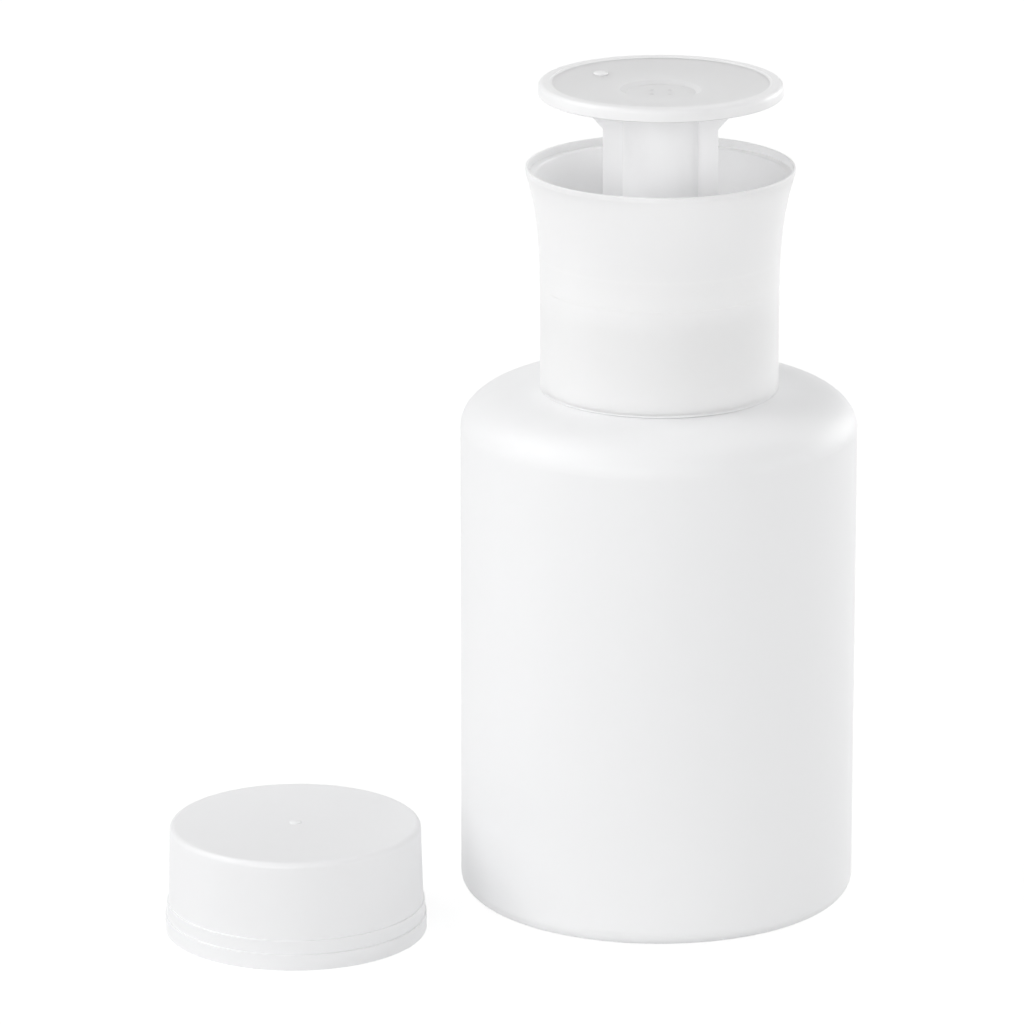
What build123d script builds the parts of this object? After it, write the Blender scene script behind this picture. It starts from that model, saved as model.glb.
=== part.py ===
from build123d import *
from math import cos, pi, radians, sin, sqrt, tan
import os

# Push-down dispenser bottle for nail polish remover, with its overcap standing beside it.
#
# A round bottle carries a screw collar that opens out into a drip cup. A push plate stands over
# the cup on a keyed tube. Pressing it drives a piston down a barrel that hangs in the neck, and
# the liquid rises through the hollow stem into the shallow dish on top of the plate.
#
# Sizes are in millimetres. The origin is the centre of the bottle's foot, on the table, and +Z is up.

# Clearances, each on the radius or between two faces
SLIDE_FIT = 0.08
KEY_FIT = 0.12
PISTON_FIT = 0.07
SNAP_FIT = 0.05
PRESS_IN_FIT = 0.03
CAP_FIT = 0.08
PLATE_CAP_GAP = 0.1
SEAT_GAP = 0.02
BALL_GAP = 0.04
STOP_GAP = 0.3
PISTON_REST_GAP = 0.1
OVERRUN = 1.0
EDGE_MATCH = 0.01
QUARTER_ANGLE = 90

# Valve balls and the chambers that hold them
BALL_R = 2.2
BALL_LIFT = 1.0
BALL_ROOM = 0.55
PORT_R = 1.4

# Stem, and the push plate's tube and key wings round it
STROKE = 11.0
STEM_BORE_R = 2.4
STEM_WALL = 1.8
STEM_FOOT_OUT = 1.2
STEM_FOOT_T = 1.2
STEM_SPIGOT_IN = 0.3
STEM_SPIGOT_L = 1.7
STEM_TOP_DROP = 5.3
STEM_GROOVE = 0.4
TUBE_WALL = 1.52
WING_OUT = 2.88
WING_T = 2.4
GUSSET_OUT = 4.2
GUSSET_DROP = 7.2
KEY_END_LIFT = 0.2

# Piston with a sealing lip at each end
PISTON_HEIGHT = 8.0
PISTON_LIP_T = 0.6
PISTON_LIP_BAND = 0.6
PISTON_LIP_LEN = 2.0
PISTON_WAIST_IN = 0.73
PISTON_CORE_T = 0.8
PISTON_BEAD_MARGIN = 1.7

# Barrel that hangs in the neck
BARREL_WALL = 1.1
BORE_ROOM = 1.6
HEAD_ROOM = 0.67
STOP_RING_T = 1.8
RING_BEAD = 0.25
SOCKET_WALL = 1.42
SOCKET_DEPTH = 8.0
CHAMBER_DEPTH = 4.8
PORT_LAND = 1.35
TAPER_DEPTH = 2.0
TAPER_TOP_DROP = 0.5
FLANGE_OVERHANG = 0.55
FLANGE_T = 0.8
GASKET_T = 0.8
VENT_R = 0.7
VENT_DROP = 6.2

# Cage over the inlet ball, which also seats the spring
CAGE_T = 1.2
CAGE_RING_H = 1.5
CAGE_RING_WALL = 0.75
CAGE_RING_ROOM = 0.4
CAGE_HOLE_R = 0.7
CAGE_HOLE_RING_R = 1.95
CAGE_HOLES = 4
CAGE_PIN_R = 1.1

# Return spring, one wire with closed ends
WIRE_R = 0.4
SPRING_ROOM = 0.55
SPRING_SHORTEST = 11.0
SPRING_END_GAP = 0.5
SPRING_TURNS = 9
SPRING_CLOSED_TURNS = 0.75
SPRING_SAMPLE_SHARES = [0, 1 / 4, 1 / 2, 3 / 4]

# Bottle
BODY_R = 30.0
BODY_WALL = 1.1
STRAIGHT_TOP_Z = 73.1
SHOULDER_RISE = 5.9
SHOULDER_MARGIN = 2.8
SHOULDER_CREEP = 0.25
FOOT_ROUND = 2.4
FOOT_LAND = 3.0
FOOT_CREASE = 1.2
PUSH_UP = 1.8
NECK_ROOM = 3.0
NECK_WALL = 1.6
NECK_HEIGHT = 13.35
NECK_ROOT = 0.7
NECK_LIP_ROUND = 0.3

# Screw collar and drip cup, one moulding
THREAD_ROOM = 1.4
SKIRT_WALL = 1.6
COLLAR_GAP = 0.12
COLLAR_HEIGHT = 34.03
COLLAR_FOOT_ROUND = 0.2
DECK_T = 1.2
SEAM_STEP = 0.08
CUP_WALL = 1.45
CUP_FLOOR_ROUND = 1.0
FLARE_OUT = 2.17
FLARE_SHARES = [0.45, 0.3, 0.3]
LIP_T = 1.55
LIP_BAND = 0.8
LIP_ROUND = 0.18
FENCE_T = 0.42
REBATE_DEPTH = 1.2
LEDGE_ROUND = 0.3
BOSS_HEIGHT = 6.6
BOSS_WALL = 1.35
HOOD_BEAD = 0.25
HOOD_BEAD_DROP = 0.1
HOOD_BEAD_T = 0.4

# Overcap, mouth down on the table
CAP_X = -54.4
CAP_Y = -21.2
CAP_WALL = 0.5
CAP_TOP_T = 0.7
CAP_HEADROOM = 1.73
CAP_DRAFT = 0.31
CAP_STEP_OUT = 0.25
CAP_STEP_HIGH = 4.58
CAP_STEP_LOW = 2.49
CAP_STEP_ROUND = 0.12
CAP_EDGE_ROUND = 0.9
CAP_INNER_ROUND = 0.5

# Push plate's saucer and the dish insert in its rim
PLATE_GAP = 0.88
PLATE_LIP_RISE = 1.04
PLATE_LIP_W = 1.8
PLATE_OUTER_ROUND = 0.8
PLATE_INNER_ROUND = 0.1
PLATE_BAND_DROP = 0.85
RIM_UNDERCUT = 0.2
RIM_LEAN = 0.15
SAUCER_DEPTH = 2.75
SAUCER_T = 0.95
HUB_R = 10.0
INSERT_DROP = 0.12
INSERT_T = 1.2
INSERT_LEDGE_W = 1.35
DISH_FALL = 1.1
WELL_R = 6.1
WELL_LEAN = 0.9
WELL_DEPTH = 0.45
WELL_FLOOR_T = 1.0
OUTLET_R = 0.3
OUTLET_RING_R = 1.9
OUTLETS = 4
BALL_PIN_R = 0.9

# Dip tube
DIP_TUBE_R = 2.5
DIP_TUBE_WALL = 0.8
DIP_TUBE_CLEAR = 1.3
DIP_CUT_ANGLE = 35

# Radii that follow, from the stem outwards to the plate
CHAMBER_R = BALL_R + BALL_ROOM
STEM_R = STEM_BORE_R + STEM_WALL
STEM_FOOT_R = STEM_R + STEM_FOOT_OUT
SPIGOT_R = STEM_R - STEM_SPIGOT_IN
SPRING_R = SPIGOT_R + SPRING_ROOM + WIRE_R
TUBE_BORE_R = STEM_R + PRESS_IN_FIT
TUBE_R = TUBE_BORE_R + TUBE_WALL
WING_R = TUBE_R + WING_OUT
BORE_R = STEM_FOOT_R + BORE_ROOM
HEAD_BORE_R = WING_R + HEAD_ROOM
NECK_BORE_R = HEAD_BORE_R + BARREL_WALL + NECK_ROOM
NECK_R = NECK_BORE_R + NECK_WALL
FLANGE_R = NECK_R + FLANGE_OVERHANG
SKIRT_BORE_R = NECK_R + THREAD_ROOM
COLLAR_R = SKIRT_BORE_R + SKIRT_WALL
CUP_FOOT_R = COLLAR_R + SEAM_STEP
LIP_R = CUP_FOOT_R + FLARE_OUT
CAP_FLANGE_R = LIP_R - FENCE_T - CAP_FIT
CAP_WALL_R = CAP_FLANGE_R - 2 * CAP_STEP_OUT
CAP_TOP_R = CAP_WALL_R - CAP_DRAFT
PLATE_R = CAP_TOP_R - CAP_WALL - PLATE_CAP_GAP
DISH_R = PLATE_R - PLATE_LIP_W

# Heights that follow, from the shoulder up to the plate
SHOULDER_Z = STRAIGHT_TOP_Z + SHOULDER_RISE
NECK_ROOT_Z = SHOULDER_Z + SHOULDER_CREEP
NECK_TOP_Z = NECK_ROOT_Z + NECK_HEIGHT
FLANGE_Z = NECK_TOP_Z + GASKET_T
DECK_Z = FLANGE_Z + FLANGE_T
CUP_FLOOR_Z = DECK_Z + DECK_T
COLLAR_FOOT_Z = NECK_ROOT_Z + COLLAR_GAP
CUP_RIM_Z = COLLAR_FOOT_Z + COLLAR_HEIGHT
REBATE_Z = CUP_RIM_Z - REBATE_DEPTH
PLATE_RIM_Z = CUP_RIM_Z + STROKE + PLATE_GAP
PLATE_LIP_Z = PLATE_RIM_Z + PLATE_LIP_RISE
HUB_Z = PLATE_RIM_Z - SAUCER_DEPTH
DISH_EDGE_Z = PLATE_LIP_Z - INSERT_DROP
DISH_LEDGE_Z = DISH_EDGE_Z - INSERT_T
DISH_LOW_Z = DISH_EDGE_Z - DISH_FALL
WELL_Z = DISH_LOW_Z - WELL_DEPTH
HUB_RING_Z = WELL_Z - WELL_FLOOR_T
CAP_HEIGHT = PLATE_LIP_Z - REBATE_Z + CAP_HEADROOM + CAP_TOP_T

# Heights that follow, from the deck down to the dip tube
TUBE_END_Z = CUP_FLOOR_Z + KEY_END_LIFT
RING_TOP_Z = TUBE_END_Z - STROKE - STOP_GAP
LEDGE_Z = RING_TOP_Z - STOP_RING_T
PISTON_TOP_Z = LEDGE_Z - PISTON_REST_GAP
PISTON_FOOT_Z = PISTON_TOP_Z - PISTON_HEIGHT
STEM_FOOT_Z = PISTON_FOOT_Z - STEM_FOOT_T
STEM_TOP_Z = HUB_Z - STEM_TOP_DROP
CAGE_TOP_Z = STEM_FOOT_Z - STROKE - SPRING_SHORTEST
BARREL_FLOOR_Z = CAGE_TOP_Z - CAGE_T
INLET_SEAT_Z = BARREL_FLOOR_Z - CHAMBER_DEPTH
SOCKET_TOP_Z = INLET_SEAT_Z - (CHAMBER_R - PORT_R) - PORT_LAND
SOCKET_FOOT_Z = SOCKET_TOP_Z - SOCKET_DEPTH
DIP_END_Z = PUSH_UP + BODY_WALL + DIP_TUBE_CLEAR


def turned(*corners):
    """A body of revolution about Z; each corner is (radius, height), with a rounding or without."""
    points = [corner[:2] for corner in corners]
    rounds = [sum(corner[2:]) for corner in corners]
    return spun(FilletPolyline(*points, radius=rounds, close=True))


def spun(*edges):
    """A body of revolution about Z; the edges' x is the radius and their y is the height."""
    return revolve(Plane.XZ * make_face(edges), axis=Axis.Z)


def softened(body, rounding, *rings):
    """The body with its round edges at the given (radius, height) pairs rounded off."""
    chosen = [
        edge
        for edge in body.edges().filter_by(GeomType.CIRCLE)
        for radius, height in rings
        if abs(edge.radius - radius) < EDGE_MATCH and abs(edge.arc_center.Z - height) < EDGE_MATCH
    ]
    return fillet(chosen, rounding)


def holes_on_ring(radius, ring_radius, count, low, high):
    """Cutters for equal upright holes on a circle."""
    hole = Pos(0, 0, low) * extrude(Circle(radius), high - low)
    places = PolarLocations(ring_radius, count, start_angle=2 * QUARTER_ANGLE / count)
    return [place * hole for place in places]


def ball_rest_z(seat_z):
    """Centre height of a ball that rests in a 45 degree seat whose wide rim is at seat_z."""
    return seat_z - CHAMBER_R + (BALL_R + BALL_GAP) * sqrt(2)


def key_plan(clearance):
    """Plan of the plate's tube and its two key wings, grown by the clearance."""
    wings = Rectangle(2 * (WING_R + clearance), WING_T + 2 * clearance)
    return Circle(TUBE_R + min(clearance, SLIDE_FIT)) + wings


def bottle_outline(inset, neck_r, top_z):
    """Edges of the bottle's profile, from the axis at the foot up to the neck, drawn in by inset."""
    wall_r = BODY_R - inset
    foot_round = FOOT_ROUND - inset / 2
    land_in = BODY_R - FOOT_ROUND - FOOT_LAND
    land_out = wall_r - foot_round
    crown_z = PUSH_UP + inset
    flat_r = COLLAR_R + SHOULDER_MARGIN
    crest_z = SHOULDER_Z - inset
    slope = SHOULDER_CREEP / (flat_r - neck_r)
    root = (neck_r + NECK_ROOT, crest_z + slope * (flat_r - neck_r - NECK_ROOT))
    crease = (land_in - FOOT_CREASE, crown_z)
    return [
        Line((0, crown_z), crease),
        Line(crease, (land_in, inset)),
        Line((land_in, inset), (land_out, inset)),
        CenterArc((land_out, inset + foot_round), foot_round, -QUARTER_ANGLE, QUARTER_ANGLE),
        Line((wall_r, inset + foot_round), (wall_r, STRAIGHT_TOP_Z)),
        EllipticalCenterArc(
            (flat_r, STRAIGHT_TOP_Z), wall_r - flat_r, crest_z - STRAIGHT_TOP_Z, arc_size=QUARTER_ANGLE
        ),
        Line((flat_r, crest_z), root),
        Line(root, (neck_r, root[1] + NECK_ROOT)),
        Line((neck_r, root[1] + NECK_ROOT), (neck_r, top_z)),
        Line((neck_r, top_z), (0, top_z)),
        Line((0, top_z), (0, crown_z)),
    ]


def bottle():
    """Blown bottle: standing ring round a raised base, straight wall, soft shoulder and neck."""
    outside = spun(*bottle_outline(0, NECK_R, NECK_TOP_Z))
    inside = spun(*bottle_outline(BODY_WALL, NECK_BORE_R, NECK_TOP_Z + OVERRUN))
    return softened(
        outside - inside, NECK_LIP_ROUND, (NECK_R, NECK_TOP_Z), (NECK_BORE_R, NECK_TOP_Z)
    )


def flare(foot, top):
    """The cup's trumpet curve, upright at its foot and leaning outwards at its top."""
    foot_share, top_share, lean_share = FLARE_SHARES
    rise = top[1] - foot[1]
    pull = rise * top_share
    return Bezier(
        foot,
        (foot[0], foot[1] + rise * foot_share),
        (top[0] - pull * lean_share, top[1] - pull),
        top,
    )


def cup_and_skirt():
    """The collar's turned form: skirt, bead that holds the barrel's flange, deck, flare and lip."""
    lip_z = CUP_RIM_Z - LIP_BAND
    fence_r = LIP_R - FENCE_T
    mouth_r = LIP_R - LIP_T
    cup_r = CUP_FOOT_R - CUP_WALL
    hood_r = FLANGE_R + SLIDE_FIT
    bead_r = hood_r - HOOD_BEAD
    bead_top = FLANGE_Z - HOOD_BEAD_DROP
    bead_low = bead_top - HOOD_BEAD / 2 - HOOD_BEAD_T
    below_lip = Polyline(
        (LIP_R, lip_z),
        (LIP_R, CUP_RIM_Z),
        (fence_r, CUP_RIM_Z),
        (fence_r, REBATE_Z),
        (mouth_r, REBATE_Z),
    )
    inside = Polyline(
        (cup_r, CUP_FLOOR_Z),
        (0, CUP_FLOOR_Z),
        (0, DECK_Z),
        (hood_r, DECK_Z),
        (hood_r, bead_top),
        (bead_r, bead_top - HOOD_BEAD / 2),
        (bead_r, bead_low),
        (SKIRT_BORE_R, bead_low - HOOD_BEAD_T),
        (SKIRT_BORE_R, COLLAR_FOOT_Z),
        (COLLAR_R, COLLAR_FOOT_Z),
        (COLLAR_R, CUP_FLOOR_Z - SEAM_STEP),
        (CUP_FOOT_R, CUP_FLOOR_Z),
    )
    body = spun(
        flare((CUP_FOOT_R, CUP_FLOOR_Z), (LIP_R, lip_z)),
        below_lip,
        flare((cup_r, CUP_FLOOR_Z), (mouth_r, REBATE_Z)),
        inside,
    )
    body = softened(body, LIP_ROUND, (LIP_R, CUP_RIM_Z), (fence_r, CUP_RIM_Z))
    body = softened(body, LEDGE_ROUND, (mouth_r, REBATE_Z))
    body = softened(body, CUP_FLOOR_ROUND, (cup_r, CUP_FLOOR_Z))
    return softened(body, COLLAR_FOOT_ROUND, (COLLAR_R, COLLAR_FOOT_Z))


def guide_boss():
    """Upright guide on the deck: a ring round the tube and a rounded lug round each key wing."""
    lug_length = 2 * (WING_R + KEY_FIT + BOSS_WALL)
    lug_width = WING_T + 2 * (KEY_FIT + BOSS_WALL)
    plan = Circle(TUBE_R + SLIDE_FIT + BOSS_WALL) + RectangleRounded(lug_length, lug_width, BOSS_WALL)
    return Pos(0, 0, DECK_Z + DECK_T / 2) * extrude(plan, DECK_T / 2 + BOSS_HEIGHT)


def collar_cup():
    """Screw collar that opens into the drip cup, with a keyed guide for the push plate."""
    keyway = Pos(0, 0, DECK_Z - OVERRUN) * extrude(
        key_plan(KEY_FIT), DECK_T + BOSS_HEIGHT + 2 * OVERRUN
    )
    return cup_and_skirt() + guide_boss() - keyway


def saucer():
    """The push plate's turned form: rim, shallow saucer, hub ring and the tube below it."""
    band_z = PLATE_RIM_Z - PLATE_BAND_DROP
    rim_foot = (PLATE_R - RIM_UNDERCUT, band_z - RIM_LEAN)
    ledge_r = DISH_R - INSERT_LEDGE_W
    hub_ring_r = CHAMBER_R + TUBE_WALL
    hub_top_z = HUB_Z + SAUCER_T
    under = Line((HUB_R, HUB_Z), rim_foot)
    over = Line((HUB_R, hub_top_z), (ledge_r, DISH_LEDGE_Z))
    rim = Polyline(
        rim_foot,
        (PLATE_R, band_z),
        (PLATE_R, PLATE_LIP_Z),
        (DISH_R, PLATE_LIP_Z),
        (DISH_R, DISH_LEDGE_Z),
        (ledge_r, DISH_LEDGE_Z),
    )
    hub = Polyline(
        (HUB_R, hub_top_z),
        (hub_ring_r, hub_top_z),
        (hub_ring_r, HUB_RING_Z),
        (CHAMBER_R, HUB_RING_Z),
        (CHAMBER_R, STEM_TOP_Z),
        (TUBE_BORE_R, STEM_TOP_Z),
        (TUBE_BORE_R, TUBE_END_Z),
        (TUBE_R, TUBE_END_Z),
        (TUBE_R, HUB_Z),
        (HUB_R, HUB_Z),
    )
    body = spun(under, rim, over, hub)
    body = softened(body, PLATE_OUTER_ROUND, (PLATE_R, PLATE_LIP_Z))
    return softened(body, PLATE_INNER_ROUND, (DISH_R, PLATE_LIP_Z))


def key_wing():
    """One flat key wing beside the tube, sweeping out into a gusset under the saucer."""
    root_r = (TUBE_BORE_R + TUBE_R) / 2
    top_z = HUB_Z + SAUCER_T / 2
    edge = (WING_R, HUB_Z - GUSSET_DROP)
    tip = (WING_R + GUSSET_OUT, HUB_Z + SAUCER_T)
    outline = [
        Line((root_r, TUBE_END_Z), (WING_R, TUBE_END_Z)),
        Line((WING_R, TUBE_END_Z), edge),
        TangentArc(edge, tip, tangent=(0, 1)),
        Line(tip, (root_r, top_z)),
        Line((root_r, top_z), (root_r, TUBE_END_Z)),
    ]
    return extrude(Plane.XZ * make_face(outline), WING_T / 2, both=True)


def push_plate():
    """The push plate: saucer and tube, with a key wing on each side."""
    wing = key_wing()
    return saucer() + wing + mirror(wing, about=Plane.YZ)


def dish_insert():
    """Shallow dish for the cotton pad, with a central well, outlet holes and the ball's stop pin."""
    edge_r = DISH_R - SNAP_FIT
    foot_r = WELL_R + WELL_FLOOR_T
    pin_z = ball_rest_z(STEM_TOP_Z) + BALL_R + BALL_LIFT + BALL_GAP
    dish = TangentArc((WELL_R, DISH_LOW_Z), (edge_r, DISH_EDGE_Z), tangent=(1, 0))
    rest = Polyline(
        (edge_r, DISH_EDGE_Z),
        (edge_r, DISH_LEDGE_Z),
        (edge_r - INSERT_LEDGE_W, DISH_LEDGE_Z),
        (foot_r, DISH_LOW_Z - INSERT_T),
        (foot_r - WELL_LEAN, HUB_RING_Z),
        (BALL_PIN_R, HUB_RING_Z),
        (BALL_PIN_R, pin_z),
        (0, pin_z),
        (0, WELL_Z),
        (WELL_R - WELL_LEAN, WELL_Z),
        (WELL_R, DISH_LOW_Z),
    )
    outlets = holes_on_ring(
        OUTLET_R, OUTLET_RING_R, OUTLETS, HUB_RING_Z - OVERRUN, WELL_Z + OVERRUN
    )
    return spun(dish, rest) - outlets


def overcap():
    """Thin overcap with a drafted wall and a two-step flange that drops into the cup's rebate."""
    mouth_r = CAP_WALL_R - CAP_WALL
    top_r = CAP_TOP_R - CAP_WALL
    cap = turned(
        (0, CAP_HEIGHT - CAP_TOP_T),
        (top_r, CAP_HEIGHT - CAP_TOP_T, CAP_INNER_ROUND),
        (mouth_r, CAP_STEP_HIGH),
        (mouth_r, 0),
        (CAP_FLANGE_R, 0),
        (CAP_FLANGE_R, CAP_STEP_LOW, CAP_STEP_ROUND),
        (CAP_WALL_R + CAP_STEP_OUT, CAP_STEP_LOW),
        (CAP_WALL_R + CAP_STEP_OUT, CAP_STEP_HIGH, CAP_STEP_ROUND),
        (CAP_WALL_R, CAP_STEP_HIGH),
        (CAP_TOP_R, CAP_HEIGHT, CAP_EDGE_ROUND),
        (0, CAP_HEIGHT),
    )
    return Pos(CAP_X, CAP_Y, 0) * cap


def neck_gasket():
    """Flat sealing ring between the bottle's neck and the barrel's flange."""
    return turned(
        (NECK_BORE_R, NECK_TOP_Z), (NECK_R, NECK_TOP_Z), (NECK_R, FLANGE_Z), (NECK_BORE_R, FLANGE_Z)
    )


def pump_barrel():
    """Barrel: flange, wide head for the key wings, long bore, ball seat and dip tube socket."""
    head_r = HEAD_BORE_R + BARREL_WALL
    barrel_r = BORE_R + BARREL_WALL
    socket_bore = DIP_TUBE_R + PRESS_IN_FIT
    socket_r = socket_bore + SOCKET_WALL
    step_z = LEDGE_Z - TAPER_DEPTH
    taper_z = BARREL_FLOOR_Z - TAPER_TOP_DROP
    body = turned(
        (FLANGE_R, DECK_Z),
        (FLANGE_R, FLANGE_Z),
        (head_r, FLANGE_Z),
        (head_r, LEDGE_Z),
        (barrel_r, step_z),
        (barrel_r, taper_z),
        (socket_r, taper_z - TAPER_DEPTH),
        (socket_r, SOCKET_FOOT_Z),
        (socket_bore, SOCKET_FOOT_Z),
        (socket_bore, SOCKET_TOP_Z),
        (PORT_R, SOCKET_TOP_Z),
        (PORT_R, INLET_SEAT_Z - (CHAMBER_R - PORT_R)),
        (CHAMBER_R, INLET_SEAT_Z),
        (CHAMBER_R, BARREL_FLOOR_Z),
        (BORE_R, BARREL_FLOOR_Z),
        (BORE_R, LEDGE_Z),
        (HEAD_BORE_R, LEDGE_Z),
        (HEAD_BORE_R, RING_TOP_Z + SNAP_FIT),
        (HEAD_BORE_R - RING_BEAD, RING_TOP_Z + SNAP_FIT + RING_BEAD),
        (HEAD_BORE_R, RING_TOP_Z + SNAP_FIT + 2 * RING_BEAD),
        (HEAD_BORE_R, DECK_Z),
    )
    vent = Plane.XZ * Pos(0, DECK_Z - VENT_DROP) * Circle(VENT_R)
    return body - extrude(vent, head_r + OVERRUN, both=True)


def stop_ring():
    """Ring snapped into the barrel's head; it guides the stem and stops the piston's return."""
    return turned(
        (STEM_R + SLIDE_FIT, LEDGE_Z),
        (HEAD_BORE_R - SNAP_FIT, LEDGE_Z),
        (HEAD_BORE_R - SNAP_FIT, RING_TOP_Z),
        (STEM_R + SLIDE_FIT, RING_TOP_Z),
    )


def piston():
    """Soft piston with a flared lip at each end and a bead that snaps into the stem's groove."""
    lip_r = BORE_R - PISTON_FIT
    lip_in = lip_r - PISTON_LIP_T
    waist_r = lip_r - PISTON_WAIST_IN
    cup_out = waist_r - PISTON_LIP_T
    core_r = TUBE_BORE_R + PISTON_CORE_T
    bead_r = TUBE_BORE_R - STEM_GROOVE
    low, high = PISTON_FOOT_Z, PISTON_TOP_Z
    return turned(
        (TUBE_BORE_R, low),
        (core_r, low),
        (core_r, low + PISTON_LIP_LEN),
        (cup_out, low + PISTON_LIP_LEN),
        (lip_in, low),
        (lip_r, low),
        (lip_r, low + PISTON_LIP_BAND),
        (waist_r, low + PISTON_LIP_LEN),
        (waist_r, high - PISTON_LIP_LEN),
        (lip_r, high - PISTON_LIP_BAND),
        (lip_r, high),
        (lip_in, high),
        (cup_out, high - PISTON_LIP_LEN),
        (core_r, high - PISTON_LIP_LEN),
        (core_r, high),
        (TUBE_BORE_R, high),
        (TUBE_BORE_R, high - PISTON_BEAD_MARGIN),
        (bead_r, high - PISTON_BEAD_MARGIN - STEM_GROOVE),
        (bead_r, low + PISTON_BEAD_MARGIN + STEM_GROOVE),
        (TUBE_BORE_R, low + PISTON_BEAD_MARGIN),
    )


def stem():
    """Hollow stem: spring spigot and foot, piston groove, long shank and a ball seat at the top."""
    seat_z = STEM_TOP_Z - (CHAMBER_R - PORT_R)
    bore_top = seat_z - PORT_LAND
    groove_low = PISTON_FOOT_Z + PISTON_BEAD_MARGIN
    groove_high = PISTON_TOP_Z - PISTON_BEAD_MARGIN
    return turned(
        (STEM_BORE_R, STEM_FOOT_Z - STEM_SPIGOT_L),
        (SPIGOT_R, STEM_FOOT_Z - STEM_SPIGOT_L),
        (SPIGOT_R, STEM_FOOT_Z),
        (STEM_FOOT_R, STEM_FOOT_Z),
        (STEM_FOOT_R, PISTON_FOOT_Z),
        (STEM_R, PISTON_FOOT_Z),
        (STEM_R, groove_low),
        (STEM_R - STEM_GROOVE, groove_low + STEM_GROOVE),
        (STEM_R - STEM_GROOVE, groove_high - STEM_GROOVE),
        (STEM_R, groove_high),
        (STEM_R, STEM_TOP_Z),
        (CHAMBER_R, STEM_TOP_Z),
        (PORT_R, seat_z),
        (PORT_R, bore_top),
        (STEM_BORE_R, bore_top - (STEM_BORE_R - PORT_R)),
    )


def ball_cage():
    """Perforated disc over the inlet ball, with its stop pin below and the spring's ring above."""
    edge_r = BORE_R - SNAP_FIT
    ring_r = SPRING_R - WIRE_R - CAGE_RING_ROOM
    ring_top = CAGE_TOP_Z + CAGE_RING_H
    pin_z = ball_rest_z(INLET_SEAT_Z) + BALL_R + BALL_LIFT + BALL_GAP
    body = turned(
        (0, pin_z),
        (CAGE_PIN_R, pin_z),
        (CAGE_PIN_R, BARREL_FLOOR_Z),
        (edge_r, BARREL_FLOOR_Z),
        (edge_r, CAGE_TOP_Z),
        (ring_r, CAGE_TOP_Z),
        (ring_r, ring_top),
        (ring_r - CAGE_RING_WALL, ring_top),
        (ring_r - CAGE_RING_WALL, CAGE_TOP_Z),
        (0, CAGE_TOP_Z),
    )
    return body - holes_on_ring(
        CAGE_HOLE_R, CAGE_HOLE_RING_R, CAGE_HOLES, BARREL_FLOOR_Z - OVERRUN, ring_top
    )


def biarc(start, start_way, end, end_way):
    """Two arcs that meet smoothly, leaving start and reaching end along the given directions."""
    chord = end - start
    turn = 2 * (1 - start_way.dot(end_way))
    along = chord.dot(start_way + end_way)
    reach = (sqrt(along * along + turn * chord.dot(chord)) - along) / turn
    middle = (start + end + (start_way - end_way) * reach) / 2
    first = TangentArc(start, middle, tangent=start_way)
    return [first, TangentArc(middle, end, tangent=first % 1)]


def spring_wire():
    """Centre line of the spring, a quarter turn at a time, close at both ends and open between."""
    low = CAGE_TOP_Z + WIRE_R + SEAT_GAP
    high = STEM_FOOT_Z - WIRE_R - SEAT_GAP
    quarters = 4 * SPRING_TURNS
    closed_end = 4 * SPRING_CLOSED_TURNS
    close_pitch = 2 * WIRE_R + SPRING_END_GAP
    closed_rise = 2 * SPRING_CLOSED_TURNS * close_pitch
    open_pitch = (high - low - closed_rise) / (SPRING_TURNS - 2 * SPRING_CLOSED_TURNS)
    from_end = [min(step, quarters - 1 - step) for step in range(quarters)]
    pitches = [close_pitch if step < closed_end else open_pitch for step in from_end]
    starts = pitches[:1] + pitches
    ends = pitches + pitches[-1:]
    height = low
    stations = []
    for step, pitch in enumerate(pitches + [0]):
        turn = step * pi / 2
        place = Vector(SPRING_R * cos(turn), SPRING_R * sin(turn), height)
        climb = (starts[step] + ends[step]) / (4 * pi)
        way = Vector(-SPRING_R * sin(turn), SPRING_R * cos(turn), climb)
        stations.append((place, way.normalized()))
        height += pitch / 4
    return [arc for a, b in zip(stations, stations[1:]) for arc in biarc(*a, *b)]


def return_spring():
    """Return spring: one round wire wound in open turns between two closed ends."""
    arcs = spring_wire()
    start_face = Plane(origin=arcs[0] @ 0, z_dir=arcs[0] % 0) * Circle(WIRE_R)
    points = [arc @ share for arc in arcs for share in SPRING_SAMPLE_SHARES]
    apart = len(points) * 3 // (4 * SPRING_TURNS)
    gap = min((a - b).length for i, a in enumerate(points) for b in points[i + apart :])
    print("spring: turns", SPRING_TURNS, "least gap to itself", round(gap - 2 * WIRE_R, 3), "mm")
    return sweep(start_face, path=Wire(arcs))


def valve_ball(seat_z):
    """A valve ball at rest in its seat."""
    return Pos(0, 0, ball_rest_z(seat_z)) * Sphere(BALL_R)


def dip_tube():
    """Dip tube from the barrel's socket to the bottle's base, cut on the slant at its foot."""
    bore = DIP_TUBE_R - DIP_TUBE_WALL
    tube = turned(
        (bore, DIP_END_Z), (DIP_TUBE_R, DIP_END_Z), (DIP_TUBE_R, SOCKET_TOP_Z), (bore, SOCKET_TOP_Z)
    )
    reach = DIP_TUBE_R + OVERRUN
    rise = 2 * reach * tan(radians(DIP_CUT_ANGLE))
    wedge = Polygon(
        (-reach, DIP_END_Z), (reach, DIP_END_Z), (reach, DIP_END_Z + rise), align=None
    )
    return tube - extrude(Plane.XZ * wedge, reach, both=True)


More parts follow.
